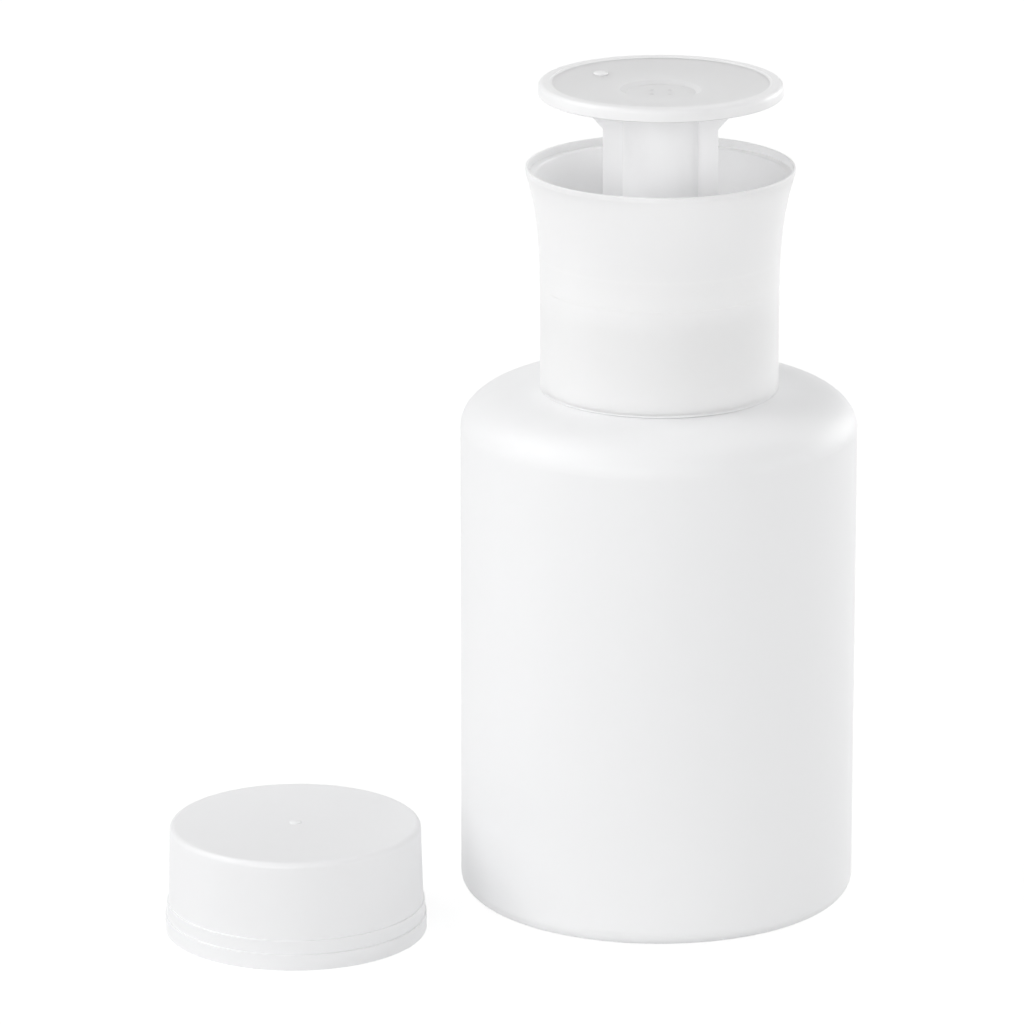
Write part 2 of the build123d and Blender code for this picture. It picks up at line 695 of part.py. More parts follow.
PARTS = {
    "bottle": bottle,
    "collar_cup": collar_cup,
    "push_plate": push_plate,
    "dish_insert": dish_insert,
    "overcap": overcap,
    "neck_gasket": neck_gasket,
    "pump_barrel": pump_barrel,
    "stop_ring": stop_ring,
    "piston": piston,
    "stem": stem,
    "ball_cage": ball_cage,
    "return_spring": return_spring,
    "outlet_ball": lambda: valve_ball(STEM_TOP_Z),
    "inlet_ball": lambda: valve_ball(INLET_SEAT_Z),
    "dip_tube": dip_tube,
}

os.makedirs("parts", exist_ok=True)
for name, make in PARTS.items():
    export_step(make(), f"parts/{name}.step")
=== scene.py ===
from math import cos, pi, radians, sin

import bmesh
import bpy
from bpy.props import FloatProperty, FloatVectorProperty, IntProperty, PointerProperty
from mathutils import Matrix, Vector


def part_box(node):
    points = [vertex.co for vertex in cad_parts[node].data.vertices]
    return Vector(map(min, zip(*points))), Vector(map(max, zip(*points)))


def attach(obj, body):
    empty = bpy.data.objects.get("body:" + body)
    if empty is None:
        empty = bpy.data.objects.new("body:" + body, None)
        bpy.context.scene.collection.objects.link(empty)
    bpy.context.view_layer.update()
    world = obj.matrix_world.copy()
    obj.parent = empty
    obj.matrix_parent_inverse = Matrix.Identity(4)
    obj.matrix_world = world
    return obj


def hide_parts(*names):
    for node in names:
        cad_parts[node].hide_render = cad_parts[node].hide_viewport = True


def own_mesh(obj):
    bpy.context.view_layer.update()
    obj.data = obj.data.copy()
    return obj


bl_info = {
    "name": "Remover dispenser",
    "version": (1, 0, 0),
    "blender": (4, 5, 0),
    "location": "3D View > Sidebar > Dispenser",
    "description": "Finishes the dispenser bottle, its push plate and its overcap in moulded plastics",
    "category": "Object",
}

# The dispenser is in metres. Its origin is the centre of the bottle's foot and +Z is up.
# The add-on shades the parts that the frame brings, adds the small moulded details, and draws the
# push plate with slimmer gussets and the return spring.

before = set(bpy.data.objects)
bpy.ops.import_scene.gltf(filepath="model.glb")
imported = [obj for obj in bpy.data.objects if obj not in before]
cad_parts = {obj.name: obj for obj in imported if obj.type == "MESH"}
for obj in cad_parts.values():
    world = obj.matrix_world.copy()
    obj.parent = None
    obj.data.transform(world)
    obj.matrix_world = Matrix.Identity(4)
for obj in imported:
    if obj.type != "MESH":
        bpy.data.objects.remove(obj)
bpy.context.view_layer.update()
MM = 0.001
SHARP_CORNER = radians(28)
MERGE_DISTANCE = 0.0002 * MM
LAMP_AIM = Vector((0, 0, 70 * MM))
SENSOR_WIDTH = 36.0
VIEW_DEPTH = 50.0
LIGHT_BOUNCES = 12
OUTLETS = 4
WHITE = (1.0, 1.0, 1.0)
VIEWPORT_GREY = (0.88, 0.88, 0.89)


# Sizes and colours that a user would change


class StageSettings(bpy.types.PropertyGroup):
    """Camera, lamps and floor."""

    camera_place: FloatVectorProperty(
        name="Camera place", description="Where the camera stands",
        default=(0.0, -1.056984, 0.372368), subtype="TRANSLATION", unit="LENGTH",
    )
    camera_tilt: FloatProperty(
        name="Camera tilt", description="How far the camera looks down from the level",
        default=radians(16.499), unit="ROTATION",
    )
    camera_turn: FloatProperty(
        name="Camera turn", description="How far the camera is turned to the left",
        default=radians(1.203), unit="ROTATION",
    )
    lens: FloatProperty(
        name="Lens", description="Focal length on a 36 mm wide sensor", default=255.53, unit="CAMERA",
    )
    lamp_distance: FloatProperty(
        name="Lamp distance", description="How far each softbox stands from the object",
        default=1.35, unit="LENGTH",
    )
    lamp_size: FloatProperty(
        name="Lamp size", description="Side of each square softbox", default=0.9, unit="LENGTH",
    )
    lamp_power: FloatProperty(
        name="Lamp power", description="Power of a softbox at full strength", default=10.0,
        unit="POWER",
    )
    room_light: FloatProperty(
        name="Room light", description="Brightness of the white room round the object",
        default=0.2, min=0.0, max=1.0, subtype="FACTOR",
    )
    floor_shade: FloatProperty(
        name="Floor shade", description="How strongly the white floor shows shadows",
        default=0.3, min=0.0, max=1.0, subtype="FACTOR",
    )
    floor_glow: FloatProperty(
        name="Floor glow", description="Brightness that the camera sees in the floor by itself",
        default=0.812, min=0.0, max=1.0, subtype="FACTOR",
    )
    floor_bounce: FloatProperty(
        name="Floor bounce", description="Share of the light that the floor throws back",
        default=0.8, min=0.0, max=1.0, subtype="FACTOR",
    )
    floor_size: FloatProperty(
        name="Floor size", description="Side of the square floor", default=12.0, unit="LENGTH",
    )


class BottleSettings(bpy.types.PropertyGroup):
    """The blown bottle and the thread on its neck."""

    colour: FloatVectorProperty(
        name="Bottle colour", description="Milky polyethylene", default=(0.925, 0.928, 0.934),
        subtype="COLOR", min=0.0, max=1.0,
    )
    roughness: FloatProperty(
        name="Bottle roughness", description="Matt finish of the blown wall", default=0.46,
        min=0.0, max=1.0, subtype="FACTOR",
    )
    neck_radius: FloatProperty(
        name="Neck radius", description="Outside of the plain neck", default=15.0 * MM, unit="LENGTH",
    )
    thread_height: FloatProperty(
        name="Thread height", description="How far the thread stands out of the neck",
        default=1.0 * MM, unit="LENGTH",
    )
    thread_width: FloatProperty(
        name="Thread width", description="Width of the neck thread at its root", default=1.3 * MM,
        unit="LENGTH",
    )
    thread_pitch: FloatProperty(
        name="Thread pitch", description="Rise of the thread in one turn", default=3.0 * MM,
        unit="LENGTH",
    )
    thread_low: FloatProperty(
        name="Thread start", description="Height of the thread's lower end", default=82.0 * MM,
        unit="LENGTH",
    )
    thread_turns: FloatProperty(
        name="Thread turns", description="Turns of thread on the neck", default=2.5,
    )
    weld_length: FloatProperty(
        name="Weld length", description="Length of the pinched weld under the base",
        default=31.0 * MM, unit="LENGTH",
    )
    weld_level: FloatProperty(
        name="Weld level", description="Height of the base that the weld stands out from",
        default=1.8 * MM, unit="LENGTH",
    )
    weld_width: FloatProperty(
        name="Weld width", description="Width of the weld at its middle", default=0.9 * MM,
        unit="LENGTH",
    )


class CollarSettings(bpy.types.PropertyGroup):
    """The screw collar with its drip cup."""

    colour: FloatVectorProperty(
        name="Collar colour", description="Natural polypropylene", default=(0.912, 0.912, 0.916),
        subtype="COLOR", min=0.0, max=1.0,
    )
    roughness: FloatProperty(
        name="Collar roughness", description="Half-gloss finish of the moulding", default=0.33,
        min=0.0, max=1.0, subtype="FACTOR",
    )
    bore_radius: FloatProperty(
        name="Skirt bore", description="Inside radius of the screw skirt", default=16.4 * MM,
        unit="LENGTH",
    )
    thread_depth: FloatProperty(
        name="Thread depth", description="How far the inner thread stands in from the skirt",
        default=1.1 * MM, unit="LENGTH",
    )
    thread_width: FloatProperty(
        name="Inner thread width", description="Width of the inner thread at its root",
        default=1.2 * MM, unit="LENGTH",
    )
    thread_low: FloatProperty(
        name="Inner thread start", description="Height of the inner thread's lower end",
        default=80.5 * MM, unit="LENGTH",
    )
    thread_turns: FloatProperty(
        name="Inner thread turns", description="Turns of thread in the skirt", default=2.5,
    )


class HeadSettings(bpy.types.PropertyGroup):
    """The push plate and the dish in its rim."""

    colour: FloatVectorProperty(
        name="Plate colour", description="Natural polypropylene", default=(0.92, 0.92, 0.924),
        subtype="COLOR", min=0.0, max=1.0,
    )
    roughness: FloatProperty(
        name="Plate roughness", description="Half-gloss finish of the plate", default=0.33,
        min=0.0, max=1.0, subtype="FACTOR",
    )
    # The dish's colour is greyer than the rim's: painted shade for the dimmer light on its upward face
    dish_colour_with_painted_shade: FloatVectorProperty(
        name="Dish colour", description="The thinner dish, a little greyer than the rim",
        default=(0.868, 0.868, 0.874), subtype="COLOR", min=0.0, max=1.0,
    )
    gate_place: FloatVectorProperty(
        name="Gate place", description="Where the moulding gate was cut off the dish",
        default=(-9.1 * MM, 8.5 * MM, 125.5 * MM), subtype="TRANSLATION", unit="LENGTH",
    )
    wing_reach: FloatProperty(
        name="Wing reach", description="How far each key wing stands out from the axis",
        default=8.65 * MM, unit="LENGTH",
    )
    gusset_low: FloatProperty(
        name="Gusset foot", description="Height where a wing starts to widen under the plate",
        default=119.2 * MM, unit="LENGTH",
    )
    gusset_high: FloatProperty(
        name="Gusset top", description="Height where the widening meets the plate's own curve",
        default=122.15 * MM, unit="LENGTH",
    )
    gusset_reach: FloatProperty(
        name="Gusset reach", description="How far the gusset stands out from the axis at its top",
        default=11.3 * MM, unit="LENGTH",
    )
    gate_radius: FloatProperty(
        name="Gate radius", description="Radius of the gate's stub on the dish", default=1.15 * MM,
        unit="LENGTH",
    )
    gate_height: FloatProperty(
        name="Gate height", description="Height of the gate's stub on the dish",
        default=0.36 * MM, unit="LENGTH",
    )
    # The outlets hold discs of painted light that hide the holes' dark depth
    outlet_ring: FloatProperty(
        name="Outlet ring", description="How far each outlet stands from the axis",
        default=1.9 * MM, unit="LENGTH",
    )
    outlet_radius: FloatProperty(
        name="Outlet film radius", description="Radius of the film in an outlet",
        default=0.31 * MM, unit="LENGTH",
    )
    outlet_level: FloatProperty(
        name="Outlet level", description="Height of the film in the outlets",
        default=124.61 * MM, unit="LENGTH",
    )


class CapSettings(bpy.types.PropertyGroup):
    """The thin overcap."""

    colour: FloatVectorProperty(
        name="Cap colour", description="Natural polypropylene", default=(0.915, 0.917, 0.925),
        subtype="COLOR", min=0.0, max=1.0,
    )
    roughness: FloatProperty(
        name="Cap roughness", description="Half-gloss finish of the cap", default=0.34,
        min=0.0, max=1.0, subtype="FACTOR",
    )
    gate_radius: FloatProperty(
        name="Gate radius", description="Radius of the gate's stub on the cap", default=0.95 * MM,
        unit="LENGTH",
    )
    gate_height: FloatProperty(
        name="Gate height", description="Height of the gate's stub on the cap", default=0.3 * MM,
        unit="LENGTH",
    )


class PumpSettings(bpy.types.PropertyGroup):
    """The pump inside the bottle."""

    colour: FloatVectorProperty(
        name="Pump colour", description="Natural plastic of the pump's pieces",
        default=(0.95, 0.952, 0.955), subtype="COLOR", min=0.0, max=1.0,
    )
    piston_colour: FloatVectorProperty(
        name="Piston colour", description="Soft plastic of the piston", default=(0.88, 0.885, 0.89),
        subtype="COLOR", min=0.0, max=1.0,
    )
    gasket_colour: FloatVectorProperty(
        name="Gasket colour", description="Foam of the neck's sealing ring",
        default=(0.83, 0.83, 0.82), subtype="COLOR", min=0.0, max=1.0,
    )
    steel: FloatVectorProperty(
        name="Steel colour", description="Stainless wire and balls", default=(0.6, 0.605, 0.61),
        subtype="COLOR", min=0.0, max=1.0,
    )
    spring_radius: FloatProperty(
        name="Spring radius", description="Radius of the wire's centre line", default=4.85 * MM,
        unit="LENGTH",
    )
    wire_radius: FloatProperty(
        name="Wire radius", description="Radius of the spring's wire", default=0.4 * MM,
        unit="LENGTH",
    )
    spring_low: FloatProperty(
        name="Spring foot", description="Height that the spring stands on", default=51.2 * MM,
        unit="LENGTH",
    )
    spring_high: FloatProperty(
        name="Spring top", description="Height that the spring pushes against", default=73.2 * MM,
        unit="LENGTH",
    )
    spring_turns: IntProperty(name="Spring turns", description="Turns of wire", default=9)
    closed_pitch: FloatProperty(
        name="Closed pitch", description="Rise of a turn at the spring's closed ends",
        default=1.3 * MM, unit="LENGTH",
    )
    closed_turns: FloatProperty(
        name="Closed turns", description="Turns that lie closed at each end of the spring",
        default=0.75,
    )
    shortest_share: FloatProperty(
        name="Shortest share", description="Length of the pressed spring over its free length",
        default=0.5, min=0.0, max=1.0, subtype="FACTOR",
    )


# Shader maths


class Value:
    """A shader value that adds its own Math nodes when it is used in an expression."""

    def __init__(self, tree, socket):
        self.tree = tree
        self.socket = socket

    def worked(self, operation, *terms, held=False):
        node = self.tree.nodes.new("ShaderNodeMath")
        node.operation = operation
        node.use_clamp = held
        for socket, term in zip(node.inputs, terms):
            feed(self.tree, socket, term)
        return Value(self.tree, node.outputs[0])

    def __add__(self, other):
        return self.worked("ADD", self, other)

    def __radd__(self, other):
        return self.worked("ADD", other, self)

    def __sub__(self, other):
        return self.worked("SUBTRACT", self, other)

    def __rsub__(self, other):
        return self.worked("SUBTRACT", other, self)

    def __mul__(self, other):
        return self.worked("MULTIPLY", self, other)

    def __rmul__(self, other):
        return self.worked("MULTIPLY", other, self)

    def __truediv__(self, other):
        return self.worked("DIVIDE", self, other)

    def __rtruediv__(self, other):
        return self.worked("DIVIDE", other, self)

    def __abs__(self):
        return self.worked("ABSOLUTE", self)

    def held(self):
        """The value kept from 0 to 1."""
        return self.worked("ADD", self, 0.0, held=True)


def feed(tree, socket, term):
    """Gives a socket a link or a plain value."""
    if isinstance(term, Value):
        tree.links.new(term.socket, socket)
    else:
        socket.default_value = term


class Recipe:
    """One shader tree while it is being put together."""

    def __init__(self, tree):
        self.tree = tree
        tree.nodes.clear()

    def node(self, kind, settings=None, values=None, out=0):
        """A node of that kind; its settings are set first, then its sockets are fed."""
        made = self.tree.nodes.new(kind)
        for name, setting in (settings or {}).items():
            setattr(made, name, setting)
        for socket, term in (values or {}).items():
            feed(self.tree, made.inputs[socket], term)
        return Value(self.tree, made.outputs[out]) if made.outputs else None

    def place(self):
        """The point in the dispenser's own frame, and its x, y and z in millimetres."""
        point = self.node("ShaderNodeTexCoord", out="Object")
        split = [
            self.node("ShaderNodeSeparateXYZ", values={"Vector": point}, out=axis) * (1 / MM)
            for axis in "XYZ"
        ]
        return point, split

    def grain(self, point, size, detail=2.0, roughness=0.5, stretch=(1.0, 1.0, 1.0)):
        """Noise from 0 to 1 whose blotches are about that size, drawn out along an axis if asked."""
        drawn = self.node(
            "ShaderNodeVectorMath", {"operation": "MULTIPLY"}, {0: point, 1: stretch}
        )
        values = {"Vector": drawn, "Scale": 1 / size, "Detail": detail, "Roughness": roughness}
        return self.node("ShaderNodeTexNoise", values=values, out="Fac")

    def blend(self, share, first, second):
        """A colour between two colours."""
        return self.node(
            "ShaderNodeMix", {"data_type": "RGBA", "clamp_factor": True},
            {0: share, 6: first, 7: second}, out=2,
        )

    def relief(self, height, distance, strength=1.0):
        """Surface relief from a height of 0 to 1."""
        return self.node(
            "ShaderNodeBump", values={"Height": height, "Distance": distance, "Strength": strength},
            out="Normal",
        )


def rgba(colour, share=1.0):
    """A colour with its alpha, lightened or darkened by a share."""
    return (*[min(1.0, channel * share) for channel in colour], 1.0)


def line_at(height, level, width):
    """A soft line round the object: 1 at that level, falling to 0 at half the width."""
    return (1.0 - abs(height - level) / (width / 2)).held()


def plastic(name, roughness, values=None):
    """A new material: its recipe, and a function that finishes it with a colour and relief."""
    material = bpy.data.materials.new(name)
    material.use_nodes = True
    recipe = Recipe(material.node_tree)

    def finished(colour, rough, normal):
        sockets = {"Base Color": colour, "Roughness": rough, "Normal": normal, **(values or {})}
        surface = recipe.node("ShaderNodeBsdfPrincipled", values=sockets)
        recipe.node("ShaderNodeOutputMaterial", values={"Surface": surface})
        material.diffuse_color = rgba(VIEWPORT_GREY)
        material.roughness = roughness
        return material

    return recipe, finished


DENSE_WALL = {"IOR": 1.5}
MILKY_WALL = {
    "IOR": 1.5,
    "Subsurface Weight": 0.7,
    "Subsurface Radius": (1.0, 1.0, 1.0),
    "Subsurface Scale": 2.5 * MM,
}
HALF_MILKY_WALL = {**MILKY_WALL, "Subsurface Weight": 0.6, "Subsurface Scale": 3.0 * MM}

# Painted lines round the collar at its faint steps: a painted highlight at 99.8 mm and painted shade at
# 95.15 and 89.7 mm. Height and width in millimetres, and shade
COLLAR_HIGHLIGHT_AND_SHADE_LINES = [(99.8, 0.7, 1.02), (95.15, 0.5, 0.99), (89.7, 0.5, 0.995)]

# Painted light that makes a wall lighter downwards, on the collar's skirt under the drip cup and on the
# plate's tube under the plate: height and depth of the change in millimetres, and shade
SKIRT_PAINTED_LIGHT = (102.0, 12.0, 1.045)
TUBE_PAINTED_LIGHT_DEPTH = 2.0
TUBE_PAINTED_LIGHT = 1.04

# Painted light over the outlets: a disc just under each outlet's mouth hides the hole's dark depth. Its
# shade against the dish's own colour, and how thick the disc is
OUTLET_COVER_SHADE = 0.92
OUTLET_COVER_DEPTH = 0.1 * MM

# How far the trimming cutter reaches under and beyond the gussets
TRIM_UNDER = 6 * MM
TRIM_BEYOND = 2 * MM


def blown_plastic(name, settings):
    """Blown plastic: matt, a little uneven in wall, with a faint line where the mould closed."""
    recipe, finished = plastic(name, settings.roughness, DENSE_WALL)
    point, (_, y, z) = recipe.place()
    wall = recipe.grain(point, 34 * MM, detail=1.0, stretch=(1.0, 1.0, 0.35))
    blast = recipe.grain(point, 0.45 * MM, detail=3.0, roughness=0.6)
    seam = line_at(y, 0.0, 0.5) * (z * 0.5 - 0.5).held()
    colour = recipe.blend(wall, rgba(settings.colour, 0.985), rgba(settings.colour, 1.012))
    colour = recipe.blend(seam * 0.25, colour, rgba(settings.colour, 0.93))
    rough = wall * 0.05 + blast * 0.06 + (settings.roughness - 0.055)
    relief = recipe.relief(blast * 0.6 + seam * 0.4, 0.02 * MM, 0.5)
    return finished(colour, rough, relief)


def moulded_plastic(name, base, roughness, wall, painted_light_lines=(), pull=(1.0, 1.0, 1.0), painted_light_below=None):
    """Half-gloss moulded plastic with faint flow streaks, and any painted lines of highlight or shade
    round it: (height, width, shade).

    Below a height the colour gets lighter downwards, as painted light for a lower wall where shade
    falls: (height, depth of the change, shade)."""
    recipe, finished = plastic(name, roughness, wall)
    point, (_, _, z) = recipe.place()
    flow = recipe.grain(point, 11 * MM, detail=3.0, roughness=0.55, stretch=pull)
    skin = recipe.grain(point, 1.6 * MM, detail=2.0)
    colour = recipe.blend(flow, rgba(base, 0.99), rgba(base, 1.01))
    # Painted highlight and shade lines round the part
    for level, width, shade in painted_light_lines:
        colour = recipe.blend(line_at(z, level, width) * 0.7, colour, rgba(base, shade))
    # Painted light: the colour gets lighter downwards below a height
    if painted_light_below is not None:
        height, depth, shade = painted_light_below
        colour = recipe.blend(((height - z) / depth).held(), colour, rgba(base, shade))
    rough = flow * 0.06 + skin * 0.05 + (roughness - 0.055)
    return finished(colour, rough, recipe.relief(skin * 0.7 + flow * 0.3, 0.03 * MM, 0.35))


def soft_plastic(name, colour, roughness, pit_size):
    """Soft plain plastic or foam with small pits."""
    recipe, finished = plastic(name, roughness)
    point, _ = recipe.place()
    pits = recipe.node(
        "ShaderNodeTexVoronoi", values={"Vector": point, "Scale": 1 / pit_size}, out="Distance"
    )
    tone = recipe.grain(point, 4 * MM)
    shade = recipe.blend(tone, rgba(colour, 0.97), rgba(colour, 1.02))
    return finished(shade, pits * 0.15 + (roughness - 0.05), recipe.relief(pits, 0.04 * MM, 0.4))


def drawn_steel(name, colour):
    """Stainless steel with fine drawing streaks."""
    recipe, finished = plastic(name, roughness=0.25, values={"Metallic": 1.0})
    point, _ = recipe.place()
    streaks = recipe.grain(point, 0.3 * MM, detail=4.0, stretch=(1.0, 1.0, 0.2))
    shade = recipe.blend(streaks, rgba(colour, 0.92), rgba(colour, 1.06))
    return finished(shade, streaks * 0.14 + 0.18, recipe.relief(streaks, 0.006 * MM, 0.4))


# Mesh making


def new_piece(name, body, material, mesh, corners=False):
    """A smooth-shaded piece that rides on a body; its corners stay sharp if asked."""
    data = bpy.data.meshes.new(name)
    bmesh.ops.recalc_face_normals(mesh, faces=mesh.faces)
    mesh.to_mesh(data)
    mesh.free()
    data.shade_smooth()
    if corners:
        data.set_sharp_from_angle(angle=SHARP_CORNER)
    data.materials.append(material)
    piece = bpy.data.objects.new(name, data)
    bpy.context.scene.collection.objects.link(piece)
    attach(piece, body)
    return piece


def swept(sections, looped=False):
    """A closed mesh through equal sections, each a list of points: capped at its ends, or looped."""
    mesh = bmesh.new()
    rings = [[mesh.verts.new(point) for point in section] for section in sections]
    following = [*rings[1:], rings[0]] if looped else rings[1:]
    for low, high in zip(rings, following):
        for step, corner in enumerate(low):
            after = (step + 1) % len(low)
            mesh.faces.new((corner, low[after], high[after], high[step]))
    if not looped:
        mesh.faces.new(reversed(rings[0]))
        mesh.faces.new(rings[-1])
    return mesh


def turned(profile, centre, steps=64):
    """A closed mesh turned about an upright axis through centre; the profile's ends are on the axis."""
    mesh = bmesh.new()
    rings = []
    for radius, height in profile:
        if radius == 0:
            rings.append([mesh.verts.new(centre + Vector((0, 0, height)))])
            continue
        ring = []
        for step in range(steps):
            turn = 2 * pi * step / steps
            out = Vector((radius * cos(turn), radius * sin(turn), height))
            ring.append(mesh.verts.new(centre + out))
        rings.append(ring)
    for low, high in zip(rings, rings[1:]):
        for step in range(steps):
            after = (step + 1) % steps
            corners = [low[step % len(low)], low[after % len(low)]]
            corners += [high[after % len(high)], high[step % len(high)]]
            mesh.faces.new(list(dict.fromkeys(corners)))
    return mesh


def turned_ring(profile, steps=128):
    """A closed ring turned about the dispenser's axis from a closed (radius, height) profile."""
    sections = []
    for step in range(steps):
        turn = 2 * pi * step / steps
        sections.append([
            (radius * cos(turn), radius * sin(turn), height) for radius, height in profile
        ])
    return swept(sections, looped=True)


def in_metres(profile):
    """A (radius, height) profile that is given in millimetres."""
    return [(radius * MM, height * MM) for radius, height in profile]


# The bead that closes the joint between the dish's edge and the rim
RIM_BEAD = in_metres([
    (15.95, 126.065), (16.2, 126.135), (16.42, 126.215), (16.6, 126.285), (16.78, 126.315),
    (16.9, 126.31), (16.9, 126.0), (15.95, 126.0),
])

# The lip that narrows the gap between the collar's foot and the shoulder
FOOT_LIP = in_metres([(17.1, 79.5), (17.97, 79.5), (17.97, 79.26), (17.9, 79.19), (17.1, 79.19)])

# The weld's section: how far across as a share of its width, and how deep in millimetres
WELD_FORM = [(-0.5, 0.2), (-0.42, -0.12), (-0.2, -0.3), (0.2, -0.3), (0.42, -0.12), (0.5, 0.2)]

# The thread's section: how far out as a share of its height, and how far along of its width
THREAD_FORM = [
    (-0.2, -0.5), (0.35, -0.42), (0.82, -0.3), (1.0, -0.16),
    (1.0, 0.16), (0.82, 0.3), (0.35, 0.42), (-0.2, 0.5),
]


def thread_ridge(root, height, width, pitch, low, turns, phase):
    """A rounded thread ridge on a cylinder; a negative height makes it an inner thread."""
    steps_a_turn = 72
    runout, end_width = 0.09, 0.35
    sections = []
    for step in range(int(turns * steps_a_turn) + 1):
        gone = step / steps_a_turn
        turn = phase + 2 * pi * gone
        share = min(1.0, gone / runout, (turns - gone) / runout)
        crest = share * share * (3 - 2 * share)
        section = []
        for out, along in THREAD_FORM:
            reach = root + height * (out * crest if out > 0 else out)
            rise = low + pitch * gone + along * width * (end_width + (1 - end_width) * crest)
            section.append((reach * cos(turn), reach * sin(turn), rise))
        sections.append(section)
    return swept(sections)


def coil_mesh(settings):
    """The return spring's wire: open turns between two closed ends."""
    steps_a_turn, sides = 40, 12
    wire = settings.wire_radius
    low = settings.spring_low + wire
    rise = settings.spring_high - settings.spring_low - 2 * wire
    turns = settings.spring_turns
    closed = settings.closed_turns
    open_pitch = (rise - 2 * closed * settings.closed_pitch) / (turns - 2 * closed)
    sections = []
    for step in range(turns * steps_a_turn + 1):
        gone = step / steps_a_turn
        turn = 2 * pi * gone
        opened = min(max(gone - closed, 0), turns - 2 * closed)
        height = low + opened * open_pitch + (gone - opened) * settings.closed_pitch
        out = Vector((cos(turn), sin(turn), 0))
        slope = open_pitch / (2 * pi * settings.spring_radius)
        along = Vector((-sin(turn), cos(turn), slope)).normalized()
        up = out.cross(along)
        middle = out * settings.spring_radius + Vector((0, 0, height))
        sections.append([
            middle + wire * (cos(2 * pi * side / sides) * out + sin(2 * pi * side / sides) * up)
            for side in range(sides)
        ])
    return swept(sections)


def gate_stub(radius, height):
    """Profile of the low dome where a moulding gate was cut off, sunk a little at its foot."""
    steps = 10
    foot = -0.25 * MM
    dome = [
        (radius * sin(pi / 2 * step / steps), height * cos(pi / 2 * step / steps))
        for step in range(steps + 1)
    ]
    return [*dome, (radius, foot), (0, foot)]


def cut_copy(name, node, body, material, cutter_mesh):
    """A copy of a part with the closed cutter taken away from it; it stands for that part."""
    # The stored normals belong to the uncut part: with them, merged corners would shade dark
    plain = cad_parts[node].data.copy()
    for stored in ("custom_normal", "sharp_edge", "sharp_face"):
        if stored in plain.attributes:
            plain.attributes.remove(plain.attributes[stored])
    mesh = bmesh.new()
    mesh.from_mesh(plain)
    bpy.data.meshes.remove(plain)
    bmesh.ops.remove_doubles(mesh, verts=mesh.verts, dist=MERGE_DISTANCE)
    piece = new_piece(name, body, material, mesh)
    bmesh.ops.recalc_face_normals(cutter_mesh, faces=cutter_mesh.faces)
    cutter_data = bpy.data.meshes.new("cutter")
    cutter_mesh.to_mesh(cutter_data)
    cutter_mesh.free()
    cutter = bpy.data.objects.new("cutter", cutter_data)
    bpy.context.scene.collection.objects.link(cutter)
    cut = piece.modifiers.new("cut", "BOOLEAN")
    cut.operation = "DIFFERENCE"
    cut.solver = "EXACT"
    cut.object = cutter
    graph = bpy.context.evaluated_depsgraph_get()
    done = bpy.data.meshes.new_from_object(piece.evaluated_get(graph))
    piece.modifiers.clear()
    piece.data = done
    done.shade_smooth()
    done.set_sharp_from_angle(angle=SHARP_CORNER)
    bpy.data.objects.remove(cutter)
    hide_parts(node)


def coat(node, material):
    """Gives a part of the frame its finish."""
    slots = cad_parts[node].data.materials
    slots.clear()
    slots.append(material)


# Operators


# Each softbox: how far round it stands from the camera's side, to the right, how high, and its
# strength against the lamp power
SOFTBOXES = {
    "softbox_front": (radians(-20), radians(8), 0.65),
    "softbox_front_right": (radians(20), radians(25), 0.22),
    "softbox_left": (radians(-70), radians(25), 0.36),
    "softbox_high_left": (radians(-95), radians(50), 0.7),
    "softbox_right": (radians(70), radians(8), 0.44),
    "softbox_back_right": (radians(130), radians(8), 0.82),
    "softbox_high_right": (radians(130), radians(50), 0.22),
}


